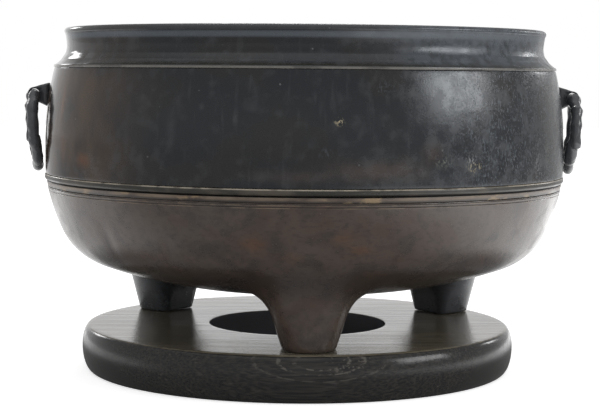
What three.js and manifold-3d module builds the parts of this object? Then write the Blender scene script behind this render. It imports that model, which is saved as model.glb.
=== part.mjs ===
// A bronze tripod brazier with two swinging ring handles, on a turned wooden stand.
//
// Lengths are in millimetres and +Z is up. The origin lies on the vessel's axis, on the
// surface that the stand rests on. The front foot points along -Y, and the handles lie on
// the X axis. The vessel is cast in three sections, the bowl, the drum and the neck, which
// lap inside one another. A moulded band covers the lower lap, and three feet are brazed
// under the bowl.

import * as THREE from 'three';
import { mergeVertices } from 'three/addons/utils/BufferGeometryUtils.js';
import Module from 'manifold-3d';

// Shared values
const clearance = 0.3;          // between two pieces that seat on each other
const overrun = 6;              // how far a cutting body passes the face that it cuts
const weldDistance = 0.0001;    // points nearer than this are one point
const wall = 4;                 // bronze thickness of the vessel
const roundSegments = 60;       // facets round the vessel, a multiple of 12
const pinSegments = 16;         // facets round a small pin or hole

// Stand
const standThickness = 33.9;
const standMargin = 5.2;        // flat left outside the soles of the feet
const standShift = -4.2;        // of its centre along X, because the vessel stands off centre
const standUndercutDepth = 1.2;  // the underside is this much smaller than the top
const standBulgeDepth = 6.3;    // how far the round edge stands out
const standHoleRadius = 69.1;
const standEdgeSteps = 7;

// Bowl, an outline of three arcs that run into one another. An angle here is that of the
// wall from upright, so it reaches 90 degrees where the bottom is level.
const bowlStep = 1.8;           // the mouth of the bowl lies this far inside the drum
const bowlLeanAngle = 12.9;
const flankArcRadius = 164.3;
const flankEndAngle = 24.7;
const flankSteps = 2;
const kneeArcRadius = 49;
const kneeEndAngle = 70.4;
const kneeSteps = 5;
const baseArcRadius = 348;
const baseSteps = 3;
const levelAngle = 90;
const footRise = 28.9;          // from the soles to the lowest point of the bowl

// Waist, from the bowl's mouth up
const mouthRise = 1.1;          // plain wall above the arcs
const bandHeight = 4.3;         // the lower, flat band
const bandRelief = 0.8;
const grooveHeight = 1.3;
const grooveDepth = 0.4;
const ridgeHeight = 4.1;        // the upper, rounded ridge
const ridgeRelief = 0.5;
const ridgeCrownShares = [0.35, 0.7];  // where the ridge's flat crown starts and ends
const spigotThickness = 2.4;
const bowlLap = 6;              // how far the bowl's spigot stands up inside the drum

// Drum
const drumRadius = 199.9;
const drumHeight = 79.8;
const drumUpright = 23.7;       // height of the upright part, below the lean inwards
const drumLeanDepth = 6.9;      // how much smaller the shoulder is
const drumLeanSteps = 4;
const drumLap = 4;              // how far the neck's spigot hangs inside the drum

// Neck and lip
const neckHeight = 30.2;
const beadHeight = 2;           // the fine ridge on the shoulder
const beadRelief = 0.5;
const neckFlare = 8.5;          // from the waist of the neck out to the bead
const neckFlareHeight = 16.7;
const neckFlareSteps = 5;
const neckInnerShare = 0.35;    // of the way out to the spigot, halfway up the flare inside
const lipHeight = 5.6;
const lipRelief = 0.9;
const lipRound = 1.2;
const lipInnerRound = 0.6;
const lipRollHeight = 1.6;      // height over which the neck turns out into the lip

// Feet, D-shaped in section
// Degrees from +X. The back left foot was brazed on a little out of true.
const footAzimuths = { foot_front: -90, foot_back_right: 30, foot_back_left: 145.5 };
const footInset = 43.1;         // from the drum's wall in to the outer edge of a sole
const footDepth = 37;           // from there to the flat inner face
const footHalfWidth = 21;
const footCorner = 5;
const footRoundness = 2.6;      // exponent of the outer curve: 2 is an ellipse
const footTaper = 0.24;         // growth outwards for each unit of height
const footEdge = 1.4;           // worn edge round the sole
const footSideFillet = 19;      // where the sides of a foot spread under the bowl
const footFaceFillet = 4;       // at its outer and inner faces
const footFilletEndAngle = 66;  // degrees of the fillet's arc that are kept
const footFilletSteps = 3;
const footFilletPasses = 4;     // to find where the fillet meets the bowl
const footCurveSteps = 16;
const footCornerSteps = 2;
const footFlatSteps = 4;

// Lugs and rings
const lugDrop = 20;             // from the top of the drum down to the ring's pivot
const lugReach = 12.4;          // from the drum's wall out to the pivot
const lugWidth = 7;
const lugMetal = 1.6;           // bronze outside the hole
const lugRootUp = 7.4;          // how far the root rises above the pivot
const lugRootDown = 11;
const lugBevelShare = 0.3;      // of the bronze outside the hole
const lugNoseSpanAngle = 100;   // degrees of the round nose each way
const lugNoseSteps = 10;
const lugMargin = 20;           // height of wall that the lug is cut to, each way
const tangRadius = 4;
const rivetHeadRadius = 7.2;
const rivetHeadHeight = 2.6;
const rivetHeadSteps = 4;
const ringPlay = 0.35;          // least gap between the ring and its hole
const ringHalfHeight = 27.9;    // of the ring's centre line
const ringHalfWidth = 30;
const ringTubeRadius = 4.6;
const ringBow = 2.6;            // how far the limbs stand out from the ring's plane
const ringSides = 10;
const ringTurn = 8;             // degrees by which each ring hangs askew

// The gnarled ring, from its thin top round to the bottom: the angle from the top, then
// the tube's half thickness in the ring's plane and across it, both as shares of the
// tube's radius, then the share of the bow.
const ringShares = [
  { angle: 0, inPlane: 0.63, across: 0.63, bow: 0 },
  { angle: 11, inPlane: 0.64, across: 0.64, bow: 0 },
  { angle: 15, inPlane: 0.98, across: 0.92, bow: 0.05 },
  { angle: 24, inPlane: 1.3, across: 1.06, bow: 0.2 },
  { angle: 36, inPlane: 0.96, across: 0.98, bow: 0.45 },
  { angle: 45, inPlane: 1, across: 1.02, bow: 0.7 },
  { angle: 52, inPlane: 1.12, across: 1.14, bow: 0.85 },
  { angle: 60, inPlane: 0.98, across: 0.98, bow: 0.8 },
  { angle: 78, inPlane: 0.96, across: 1, bow: 0.75 },
  { angle: 94, inPlane: 1.02, across: 1.05, bow: 0.65 },
  { angle: 101, inPlane: 1.1, across: 1.2, bow: 0.4 },
  { angle: 113, inPlane: 1.08, across: 1.25, bow: 0 },
  { angle: 125, inPlane: 1, across: 1.15, bow: -0.4 },
  { angle: 133, inPlane: 0.9, across: 0.92, bow: -0.65 },
  { angle: 146, inPlane: 1, across: 0.98, bow: -0.9 },
  { angle: 164, inPlane: 1.02, across: 1, bow: -1 },
  { angle: 180, inPlane: 0.98, across: 0.96, bow: -1 },
];

// Finishes
const blackBronze = { color: 0x2b2c2f, roughness: 0.38, metalness: 0.8 };
const brownBronze = { color: 0x3f3833, roughness: 0.42, metalness: 0.8 };
const rubbedBronze = { color: 0x6b5f4c, roughness: 0.45, metalness: 0.8 };
const ebonisedWood = { color: 0x1d1b1a, roughness: 0.45, metalness: 0 };

// Heights in the vessel's own group, which stands with its soles at zero
const radians = THREE.MathUtils.degToRad;
const lerp = THREE.MathUtils.lerp;
const mouthRadius = drumRadius - bowlStep;
const bowlArcs = arcChain(mouthRadius);
const bowlDrop = -bowlArcs.at(-1).end.y;
const mouthHeight = footRise + bowlDrop;
const bandLow = mouthHeight + mouthRise;
const bandHigh = bandLow + bandHeight;
const ridgeLow = bandHigh + grooveHeight;
const ridgeHigh = ridgeLow + ridgeHeight;
const drumLow = ridgeHigh + clearance;
const drumHigh = drumLow + drumHeight;
const neckLow = drumHigh + clearance;
const rimHeight = neckLow + neckHeight;
const spigotInner = mouthRadius - wall;
const spigotOuter = spigotInner + spigotThickness;
const bowlSpigotTop = drumLow + bowlLap;
const shoulderRadius = drumRadius - drumLeanDepth;
const footOuterRadius = drumRadius - footInset;
const footInnerRadius = footOuterRadius - footDepth;
const neckSpigotOuter = shoulderRadius - wall + spigotThickness;
const neckWaistRadius = shoulderRadius - neckFlare;
const pivotHeight = drumHigh - lugDrop;
const pivotRadius = drumRadiusAt(pivotHeight) + lugReach;
const lugBevel = lugMetal * lugBevelShare;

const wasm = await Module();
wasm.setup();

// Turns any three.js geometry into one welded, outward-facing body without slivers.
function closedBody(source) {
  const geometry = source.index ? source : mergeVertices(source, weldDistance);
  geometry.deleteAttribute('normal');
  geometry.deleteAttribute('uv');
  const welded = mergeVertices(geometry, weldDistance);
  const index = welded.index.array;
  const kept = [];
  for (let i = 0; i < index.length; i += 3) {
    const [a, b, c] = index.slice(i, i + 3);
    if (a !== b && b !== c && c !== a) kept.push(a, b, c);
  }
  if (signedVolume(welded.attributes.position, kept) < 0) kept.reverse();
  welded.setIndex(kept);
  return welded;
}

function signedVolume(position, index) {
  const corner = [0, 1, 2].map(() => new THREE.Vector3());
  let volume = 0;
  for (let i = 0; i < index.length; i += 3) {
    corner.forEach((point, k) => point.fromBufferAttribute(position, index[i + k]));
    volume += corner[0].dot(corner[1].clone().cross(corner[2]));
  }
  return volume;
}

function solidFrom(geometry) {
  const body = closedBody(geometry);
  return new wasm.Manifold(new wasm.Mesh({
    numProp: 3,
    vertProperties: Float32Array.from(body.attributes.position.array),
    triVerts: Uint32Array.from(body.index.array),
  }));
}

function geometryFrom(solid) {
  const mesh = solid.getMesh();
  const geometry = new THREE.BufferGeometry();
  geometry.setAttribute('position', new THREE.BufferAttribute(mesh.vertProperties, 3));
  geometry.setIndex([...mesh.triVerts]);
  return geometry;
}

// Revolves a profile of [radius, height] pairs about the Z axis. It closes on itself, or
// starts and ends on the axis.
function turned(profile, segments = roundSegments) {
  const points = profile.map(([radius, height]) => new THREE.Vector2(radius, height));
  const closes = points[0].x > 0;
  if (closes) points.push(points[0].clone());
  return closedBody(new THREE.LatheGeometry(points, segments).rotateX(Math.PI / 2));
}

// The bowl's three arcs for a start at the given radius, with height zero at the mouth.
// Each one has a centre, a radius and the angles where it starts and ends.
function arcChain(startRadius) {
  const runs = [
    { radius: flankArcRadius, from: bowlLeanAngle, to: flankEndAngle, steps: flankSteps },
    { radius: kneeArcRadius, from: flankEndAngle, to: kneeEndAngle, steps: kneeSteps },
    { radius: baseArcRadius, from: kneeEndAngle, to: levelAngle, steps: baseSteps },
  ];
  let start = new THREE.Vector2(startRadius, 0);
  return runs.map((run) => {
    const inward = new THREE.Vector2(-Math.cos(radians(run.from)), Math.sin(radians(run.from)));
    const centre = start.clone().addScaledVector(inward, run.radius);
    const end = arcPoint(centre, run.radius, run.to);
    start = end;
    return { ...run, centre, end };
  });
}

function arcPoint(centre, radius, angle) {
  const outward = new THREE.Vector2(Math.cos(radians(angle)), -Math.sin(radians(angle)));
  return centre.clone().addScaledVector(outward, radius);
}

// Points down the bowl from its mouth to the level bottom, moved inwards by an inset.
function bowlPoints(inset) {
  const points = [];
  bowlArcs.forEach((arc, place) => {
    for (let step = place === 0 ? 0 : 1; step <= arc.steps; step += 1) {
      const angle = lerp(arc.from, arc.to, step / arc.steps);
      const point = arcPoint(arc.centre, arc.radius - inset, angle);
      points.push([point.x, point.y + mouthHeight]);
    }
  });
  return points;
}

// Height of the bowl's outer surface at a radius, which the feet are fitted to.
function undersideAt(radius) {
  const arc = bowlArcs.find((run) => radius > run.end.x);
  if (!arc) return footRise;
  const across = Math.min(Math.abs(radius - arc.centre.x), arc.radius);
  return mouthHeight + arc.centre.y - Math.sqrt(arc.radius ** 2 - across ** 2);
}

function drumRadiusAt(height) {
  const above = Math.max(0, height - drumLow - drumUpright);
  return drumRadius - drumLeanDepth * (above / (drumHeight - drumUpright)) ** 2;
}

// Points up the drum's wall between two heights, moved inwards by an inset.
function drumPoints(low, high, inset) {
  const leanStart = drumLow + drumUpright;
  const points = [[drumRadiusAt(low) - inset, low]];
  for (let step = 0; step <= drumLeanSteps; step += 1) {
    const height = lerp(leanStart, drumHigh, step / drumLeanSteps);
    if (height > low && height < high) points.push([drumRadiusAt(height) - inset, height]);
  }
  points.push([drumRadiusAt(high) - inset, high]);
  return points;
}

function makeStand() {
  const topRadius = footOuterRadius + standMargin;
  const profile = [[standHoleRadius, 0]];
  for (let step = 0; step <= standEdgeSteps; step += 1) {
    const share = (1 - Math.cos(Math.PI * step / standEdgeSteps)) / 2;
    const plain = lerp(topRadius - standUndercutDepth, topRadius, share);
    const bulge = standBulgeDepth * Math.sqrt(4 * share * (1 - share));
    profile.push([plain + bulge, standThickness * share]);
  }
  profile.push([standHoleRadius, standThickness]);
  return turned(profile);
}

// The bowl, with a thinner spigot above its mouth that stands up inside the drum.
function makeBowl() {
  const outside = bowlPoints(0);
  const inside = bowlPoints(wall).reverse();
  return turned([
    [0, inside[0][1]],
    ...inside,
    [spigotInner, bandLow],
    [spigotInner, bowlSpigotTop],
    [spigotOuter, bowlSpigotTop],
    [spigotOuter, bandLow],
    [mouthRadius, bandLow],
    ...outside,
    [0, footRise],
  ]);
}

// The moulded band round the waist: a flat band, a groove and a rounded ridge.
function makeWaistBand() {
  const inner = spigotOuter + clearance;
  const low = bandLow + clearance;
  const bandRadius = mouthRadius + bandRelief;
  const ridgeRadius = drumRadius + ridgeRelief;
  const shy = ridgeRadius - ridgeRelief;
  return turned([
    [inner, low],
    [bandRadius, low],
    [bandRadius, bandHigh],
    [mouthRadius - grooveDepth, (bandHigh + ridgeLow) / 2],
    [shy, ridgeLow],
    ...ridgeCrownShares.map((share) => [ridgeRadius, ridgeLow + ridgeHeight * share]),
    [shy, ridgeHigh],
    [inner, ridgeHigh],
  ]);
}

// The drum, rabbeted inside at both ends for the spigots, and bored for the lugs' tangs.
function makeDrum() {
  const lowRabbet = spigotOuter + clearance;
  const lowStep = bowlSpigotTop + clearance;
  const highRabbet = neckSpigotOuter + clearance;
  const highStep = drumHigh - drumLap - clearance;
  const shell = solidFrom(turned([
    [lowRabbet, drumLow],
    ...drumPoints(drumLow, drumHigh, 0),
    [highRabbet, drumHigh],
    [highRabbet, highStep],
    ...drumPoints(lowStep, highStep, wall).reverse(),
    [lowRabbet, lowStep],
  ]));
  const reach = 2 * (drumRadius + overrun);
  const bore = new THREE.CylinderGeometry(
    tangRadius + clearance, tangRadius + clearance, reach, pinSegments);
  bore.rotateZ(Math.PI / 2).translate(0, 0, pivotHeight);
  return geometryFrom(shell.subtract(solidFrom(bore)));
}

// The neck curves in from the bead on the shoulder and turns out into the lip.
function makeNeck() {
  const spigotLow = neckLow - clearance - drumLap;
  const flareLow = neckLow + beadHeight;
  const beadRadius = shoulderRadius + beadRelief;
  const lipRadius = neckWaistRadius + lipRelief;
  const lipLow = rimHeight - lipHeight;
  const inside = neckWaistRadius - wall;
  const neckSpigotInner = neckSpigotOuter - spigotThickness;
  const profile = [
    [neckSpigotInner, spigotLow],
    [neckSpigotOuter, spigotLow],
    [neckSpigotOuter, neckLow],
    [beadRadius, neckLow],
    [beadRadius, flareLow],
  ];
  for (let step = 0; step <= neckFlareSteps; step += 1) {
    const share = 1 - step / neckFlareSteps;
    const height = flareLow + neckFlareHeight * (1 - share);
    profile.push([neckWaistRadius + neckFlare * share ** 2, height]);
  }
  profile.push(
    [neckWaistRadius, lipLow - lipRollHeight],
    [lipRadius, lipLow],
    [lipRadius, rimHeight - lipRound],
    [lipRadius - lipRound, rimHeight],
    [inside + lipInnerRound, rimHeight],
    [inside, rimHeight - lipInnerRound],
    [inside, flareLow + neckFlareHeight],
    [lerp(inside, neckSpigotInner, neckInnerShare), flareLow + neckFlareHeight / 2],
    [neckSpigotInner, flareLow],
  );
  return turned(profile);
}

// The D-shaped outline of a foot's sole, as points with their outward directions.
function footOutline() {
  const flatHalf = footHalfWidth - footCorner;
  const curveStart = footInnerRadius + footCorner;
  const points = [];
  for (let step = 0; step <= footCurveSteps; step += 1) {
    const angle = lerp(-Math.PI / 2, Math.PI / 2, step / footCurveSteps);
    const along = Math.max(0, Math.cos(angle)) ** (2 / footRoundness);
    const side = Math.sign(angle) * Math.abs(Math.sin(angle)) ** (2 / footRoundness);
    const reach = footOuterRadius - curveStart;
    points.push(new THREE.Vector2(curveStart + reach * along, footHalfWidth * side));
  }
  for (let step = 1; step <= footCornerSteps; step += 1) {
    const angle = (Math.PI / 2) * (1 + step / footCornerSteps);
    points.push(new THREE.Vector2(
      curveStart + footCorner * Math.cos(angle), flatHalf + footCorner * Math.sin(angle)));
  }
  for (let step = 1; step < footFlatSteps; step += 1) {
    points.push(new THREE.Vector2(footInnerRadius, lerp(flatHalf, -flatHalf, step / footFlatSteps)));
  }
  for (let step = 0; step < footCornerSteps; step += 1) {
    const angle = Math.PI + (Math.PI / 2) * (step / footCornerSteps);
    points.push(new THREE.Vector2(
      curveStart + footCorner * Math.cos(angle), -flatHalf + footCorner * Math.sin(angle)));
  }
  return points.map((point, place) => {
    const before = points.at(place - 1);
    const after = points[(place + 1) % points.length];
    const along = after.clone().sub(before).normalize();
    return { point, outward: new THREE.Vector2(along.y, -along.x) };
  });
}

// One upright run of points up the side of a foot: worn edge, taper, then the fillet that
// spreads under the bowl, and one point inside the bowl for the cut.
function footColumn({ point, outward }) {
  const at = (growth, height) => {
    const place = point.clone().addScaledVector(outward, growth);
    return new THREE.Vector3(place.x, place.y, height);
  };
  const column = [at(-footEdge, 0), at(footTaper * footEdge, footEdge)];
  const filletRadius = lerp(footFaceFillet, footSideFillet, outward.y ** 2);
  const fillet = [];
  for (let step = 0; step <= footFilletSteps; step += 1) {
    const angle = radians(footFilletEndAngle * step / footFilletSteps);
    const spread = filletRadius * (1 - Math.cos(angle));
    const below = filletRadius * (1 - Math.sin(angle));
    let height = footRise - below;
    for (let pass = 0; pass < footFilletPasses; pass += 1) {
      const place = at(footTaper * height + spread, height);
      height = undersideAt(Math.hypot(place.x, place.y)) - below;
    }
    fillet.push(at(footTaper * height + spread, height));
  }
  const middle = lerp(footEdge, fillet[0].z, 0.5);
  column.push(at(footTaper * middle, middle), ...fillet);
  const top = fillet.at(-1).clone();
  top.z = undersideAt(Math.hypot(top.x, top.y)) + overrun;
  column.push(top);
  return column;
}

// A foot that points along +X, to be turned to its azimuth in degrees. It is cut to the bowl
// that it is brazed under, with the bowl's facets where they lie after that turn.
function makeFoot(azimuth) {
  const columns = footOutline().map(footColumn);
  const levels = columns[0].length;
  const vertices = columns.flat();
  const index = [];
  columns.forEach((column, place) => {
    const next = (place + 1) % columns.length;
    for (let level = 0; level < levels - 1; level += 1) {
      const a = place * levels + level;
      const b = next * levels + level;
      index.push(a, b, b + 1, a, b + 1, a + 1);
    }
  });
  for (const level of [0, levels - 1]) {
    const centre = new THREE.Vector3();
    columns.forEach((column) => centre.addScaledVector(column[level], 1 / columns.length));
    vertices.push(centre);
    columns.forEach((column, place) => {
      const here = place * levels + level;
      const next = ((place + 1) % columns.length) * levels + level;
      const hub = vertices.length - 1;
      index.push(...(level === 0 ? [hub, next, here] : [hub, here, next]));
    });
  }
  const rough = new THREE.BufferGeometry().setFromPoints(vertices);
  rough.setIndex(index);
  const outside = bowlPoints(-clearance);
  const bowlSpace = turned([
    [0, outside.at(-1)[1]],
    ...outside.reverse(),
    [mouthRadius, mouthHeight + overrun],
    [0, mouthHeight + overrun],
  ]);
  bowlSpace.rotateZ(-radians(azimuth));
  return geometryFrom(solidFrom(rough).subtract(solidFrom(bowlSpace)));
}

function holeRadius() {
  const turn = radians(ringTurn);
  const half = lugWidth / 2;
  const thin = ringTubeRadius * ringShares[1].inPlane;
  const sag = half ** 2 / (2 * ringHalfHeight);
  return thin / Math.cos(turn) + half * Math.tan(turn) + sag + ringPlay;
}

// A lug on the +X side: a wedge with a round nose and the ring's hole, and a tang that
// runs through the drum to a rivet head inside.
function makeLug() {
  const hole = holeRadius();
  const nose = hole + lugMetal;
  const flatNose = nose - lugBevel;
  const inside = drumRadius - drumLeanDepth - overrun;
  const outline = new THREE.Shape();
  outline.moveTo(-lugReach, lugRootUp - lugBevel);
  outline.lineTo(inside - pivotRadius, lugRootUp - lugBevel);
  outline.lineTo(inside - pivotRadius, lugBevel - lugRootDown);
  outline.lineTo(-lugReach, lugBevel - lugRootDown);
  for (let step = 0; step <= lugNoseSteps; step += 1) {
    const angle = radians(lerp(-lugNoseSpanAngle, lugNoseSpanAngle, step / lugNoseSteps));
    outline.lineTo(flatNose * Math.cos(angle), flatNose * Math.sin(angle));
  }
  const eye = new THREE.Path();
  eye.absarc(0, 0, hole + lugBevel, 0, 2 * Math.PI, true);
  outline.holes.push(eye);
  const wedge = new THREE.ExtrudeGeometry(outline, {
    depth: lugWidth - 2 * lugBevel,
    bevelThickness: lugBevel,
    bevelSize: lugBevel,
    bevelSegments: 1,
    curveSegments: pinSegments,
  });
  wedge.translate(0, 0, lugBevel - lugWidth / 2).rotateX(Math.PI / 2);
  wedge.translate(pivotRadius, 0, pivotHeight);
  const low = pivotHeight - lugMargin;
  const high = pivotHeight + lugMargin;
  const drumSpace = (inset) => solidFrom(turned([
    [0, low],
    ...drumPoints(low, high, inset),
    [0, high],
  ]));
  const tangStart = drumRadiusAt(pivotHeight) - wall - clearance - rivetHeadHeight / 2;
  const tangEnd = pivotRadius - nose + lugMetal;
  const tang = new THREE.CylinderGeometry(
    tangRadius, tangRadius, tangEnd - tangStart, pinSegments);
  tang.rotateZ(Math.PI / 2).translate((tangStart + tangEnd) / 2, 0, pivotHeight);
  const dome = [[0, rivetHeadHeight]];
  for (let step = 1; step <= rivetHeadSteps; step += 1) {
    const angle = (Math.PI / 2) * (step / rivetHeadSteps);
    dome.push([rivetHeadRadius * Math.sin(angle), rivetHeadHeight * Math.cos(angle)]);
  }
  const head = turned([...dome, [rivetHeadRadius, -overrun], [0, -overrun]], pinSegments);
  head.rotateY(-Math.PI / 2);
  head.translate(drumRadiusAt(pivotHeight) - wall - clearance, 0, pivotHeight);
  const outer = solidFrom(wedge).subtract(drumSpace(-clearance));
  const inner = solidFrom(head).intersect(drumSpace(wall + clearance));
  return geometryFrom(outer.add(solidFrom(tang)).add(inner));
}

// The ring hangs below its pivot, which is its own origin, in the YZ plane. The limbs
// bow out towards +X.
function makeRing() {
  const half = ringShares.length - 1;
  const count = 2 * half;
  const vertices = [];
  const index = [];
  for (let place = 0; place < count; place += 1) {
    const side = place <= half ? 1 : -1;
    const share = ringShares[place <= half ? place : count - place];
    const angle = side * radians(share.angle);
    const centre = new THREE.Vector3(
      ringBow * share.bow,
      ringHalfWidth * Math.sin(angle),
      ringHalfHeight * (Math.cos(angle) - 1));
    const outward = new THREE.Vector3(0, Math.sin(angle), Math.cos(angle));
    for (let corner = 0; corner < ringSides; corner += 1) {
      const turn = 2 * Math.PI * corner / ringSides;
      const point = centre.clone();
      point.x += ringTubeRadius * share.across * Math.cos(turn);
      point.addScaledVector(outward, ringTubeRadius * share.inPlane * Math.sin(turn));
      vertices.push(point);
      const nextCorner = (corner + 1) % ringSides;
      const nextPlace = (place + 1) % count;
      const a = place * ringSides + corner;
      const b = place * ringSides + nextCorner;
      const c = nextPlace * ringSides + nextCorner;
      const d = nextPlace * ringSides + corner;
      index.push(a, b, c, a, c, d);
    }
  }
  const geometry = new THREE.BufferGeometry().setFromPoints(vertices);
  geometry.setIndex(index);
  return closedBody(geometry);
}

function piece(name, geometry, look) {
  const mesh = new THREE.Mesh(geometry, new THREE.MeshStandardMaterial(look));
  mesh.name = name;
  return mesh;
}

const group = new THREE.Group();
const stand = piece('stand', makeStand(), ebonisedWood);
stand.position.x = standShift;
group.add(stand);

const vessel = new THREE.Group();
vessel.position.z = standThickness + clearance;
group.add(vessel);
vessel.add(piece('bowl', makeBowl(), brownBronze));
vessel.add(piece('waist_band', makeWaistBand(), rubbedBronze));
vessel.add(piece('drum', makeDrum(), blackBronze));
vessel.add(piece('neck', makeNeck(), blackBronze));

for (const [name, azimuth] of Object.entries(footAzimuths)) {
  const foot = piece(name, makeFoot(azimuth), brownBronze);
  foot.rotation.z = radians(azimuth);
  vessel.add(foot);
}

const lugShape = makeLug();
const ringShape = makeRing();
for (const side of ['left', 'right']) {
  const handle = new THREE.Group();
  const lug = piece(`lug_${side}`, lugShape.clone(), blackBronze);
  const ring = piece(`ring_${side}`, ringShape.clone(), blackBronze);
  ring.position.set(pivotRadius, 0, pivotHeight);
  ring.rotation.z = radians(side === 'left' ? ringTurn : -ringTurn);
  handle.rotation.z = side === 'left' ? Math.PI : 0;
  handle.add(lug, ring);
  vessel.add(handle);
}

export default group;
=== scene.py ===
"""The looks of a bronze tripod brazier with two gnarled ring handles, on an ebonised wooden stand.

Lengths are in metres and +Z is up. The front foot points along -Y and the handles lie on the
X axis. Azimuths are in degrees from the front, growing towards +X. Outlines are lists of
(radius, height) points, and each piece stands for the CAD node of the same name.
"""

import math

import bmesh
import bpy
from mathutils import Matrix, Vector, noise


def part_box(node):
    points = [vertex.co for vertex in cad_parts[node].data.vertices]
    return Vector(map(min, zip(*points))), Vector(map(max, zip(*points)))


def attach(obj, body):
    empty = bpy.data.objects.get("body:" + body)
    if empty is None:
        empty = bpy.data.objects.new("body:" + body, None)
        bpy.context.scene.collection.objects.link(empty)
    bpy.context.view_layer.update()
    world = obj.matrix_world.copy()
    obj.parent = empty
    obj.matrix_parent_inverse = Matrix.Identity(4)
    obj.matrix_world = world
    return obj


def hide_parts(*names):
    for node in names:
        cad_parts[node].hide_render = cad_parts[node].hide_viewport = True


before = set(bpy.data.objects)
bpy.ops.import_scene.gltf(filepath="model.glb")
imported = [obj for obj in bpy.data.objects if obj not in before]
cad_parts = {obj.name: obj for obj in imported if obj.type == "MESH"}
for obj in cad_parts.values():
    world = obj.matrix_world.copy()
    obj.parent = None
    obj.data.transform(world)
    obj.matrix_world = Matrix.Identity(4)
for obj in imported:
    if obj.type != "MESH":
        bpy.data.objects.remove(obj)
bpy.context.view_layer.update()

# Mesh fineness
round_segments = 320
rivet_segments = 32
corner_steps = 4
longest_edge = 0.004
smooth_angle = math.radians(38)

# Sizes that the frame gives
stand_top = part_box("stand")[1].z
stand_centre = (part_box("stand")[0].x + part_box("stand")[1].x) / 2
stand_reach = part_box("stand")[1].x - stand_centre
sole_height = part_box("foot_front")[0].z
drum_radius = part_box("drum")[1].x
drum_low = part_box("drum")[0].z
drum_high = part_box("drum")[1].z
neck_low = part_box("neck")[0].z
rim_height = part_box("neck")[1].z
bead_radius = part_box("neck")[1].x
band_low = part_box("waist_band")[0].z
ridge_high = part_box("waist_band")[1].z
ridge_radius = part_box("waist_band")[1].x
bowl_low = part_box("bowl")[0].z
bowl_spigot_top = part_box("bowl")[1].z

# Vessel walls
clearance = 0.0003
wall = 0.004
spigot_wall = 0.0024
edge_round = 0.0005

# Bowl
bowl_step = 0.0018
mouth_rise = 0.0011
bowl_lean = 12.9
flank_radius = 0.1643
flank_end = 24.7
knee_radius = 0.049
knee_end = 70.4
base_radius = 0.348
base_end = 90
arc_steps = 24
line_depth = 0.0003
line_width = 0.0007
line_drops = (0.0009, 0.0028)  # from the foot of the waist band down to each incised line
dent_azimuth = math.radians(-49.5)
dent_height = 0.108
dent_half_width = 0.0055
dent_half_height = 0.013
dent_slant = 0.25
dent_depth = 0.0011
dent_fade = 3  # half heights below its middle

# Waist band
band_height = 0.0040
band_relief = 0.0008
band_lean = 0.0008
groove_height = 0.0013
groove_depth = 0.0004
ridge_ease = 1.6  # of edge_round

# Drum
drum_upright = 0.0237
drum_lean_depth = 0.0069
drum_steps = 28

# Neck
bead_height = 0.002
neck_flare = 0.0096
neck_flare_height = 0.0167
neck_flare_power = 2.8
neck_steps = 20
lip_steps = 12
lip_setback = 0.0076  # from the drum's shoulder in to the lip
lip_wall = 0.0049
lip_height = 0.0042
lip_tuck = 0.0006
lip_round_in = 0.0034
lip_round_down = 0.0027
roll_height = 0.0108
roll_power = 1.7

# Stand
stand_hole_radius = 0.0691
stand_bulge = 0.0063
stand_undercut = 0.0012
stand_edge_steps = 24
stand_arris = 0.0006

# Feet, D-shaped in section
foot_azimuths = {"foot_front": 0, "foot_back_right": 120, "foot_back_left": -124.5}
foot_axis = 90  # azimuth of a foot's own X axis
foot_outer_radius = 0.1568
foot_depth = 0.037
foot_half_width = 0.0197
foot_corner = 0.005
foot_roundness = 2.25
foot_side_taper = 0.32
foot_face_taper = 0.2
foot_edge = 0.0014
foot_edge_curve = ((1, 0), (0.3, 0.2))  # shares of foot_edge, inwards and up
foot_side_fillet = 0.0215
foot_face_fillet = 0.022
foot_skirt = 0.003
foot_pull = 0.42
foot_sink = 0.0006
foot_meet_rounds = 8
foot_cap_steps = 8
foot_outline_steps = 72
foot_wall_steps = 14
foot_fillet_steps = 14

# Lugs and rings
pivot_radius = 0.2094428
pivot_height = 0.2118249
lug_reach = 0.0124
lug_width = 0.007
lug_nose = 0.0053
lug_hole = 0.0037
lug_root_up = 0.0088
lug_root_down = 0.0112
lug_squareness = 2.6
least_facing = 0.01
lug_gnarl = 0.0008
ring_gnarl = 0.0005
gnarl_grain = 0.0046
gnarl_start = (0.62, 0.9)  # thicknesses between which the bark sets in
lug_turn_steps = 96
lug_section_steps = 28
tang_radius = 0.004
rivet_radius = 0.0072
rivet_height = 0.0026
ring_half_height = 0.0279
ring_half_width = 0.03
ring_tube_radius = 0.0046
ring_bow = 0.0026
ring_turn = math.radians(8)
ring_sides = 32
ring_step = 1.5


def between(start, end, count, first=0):
    """Evenly spaced values from start to end, without those before the first."""
    return [start + (end - start) * step / count for step in range(first, count + 1)]


def full_turn(count):
    """Evenly spaced angles round a circle."""
    return between(0, 2 * math.pi, count)[:-1]


def rounded(corners):
    """An outline with a curve at each corner. A corner is (radius, height, rounding)."""
    points = []
    count = len(corners)
    for place, (radius, height, rounding) in enumerate(corners):
        here = Vector((radius, height))
        if not rounding:
            points.append((radius, height))
            continue
        before = Vector(corners[place - 1][:2]) - here
        after = Vector(corners[(place + 1) % count][:2]) - here
        start = here + before.normalized() * min(rounding, before.length / 2)
        end = here + after.normalized() * min(rounding, after.length / 2)
        for share in between(0, 1, corner_steps):
            point = start.lerp(here, share).lerp(here.lerp(end, share), share)
            points.append((point.x, point.y))
    return points


def finer(outline):
    """The same outline with its long edges divided."""
    points = [outline[0]]
    for start, end in zip(outline, outline[1:]):
        cuts = max(1, math.ceil(math.dist(start, end) / longest_edge))
        for share in between(0, 1, cuts, 1):
            points.append(tuple(a + (b - a) * share for a, b in zip(start, end)))
    return points


def smooth_step(low, high, value):
    share = min(1, max(0, (value - low) / (high - low)))
    return share * share * (3 - 2 * share)


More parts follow.
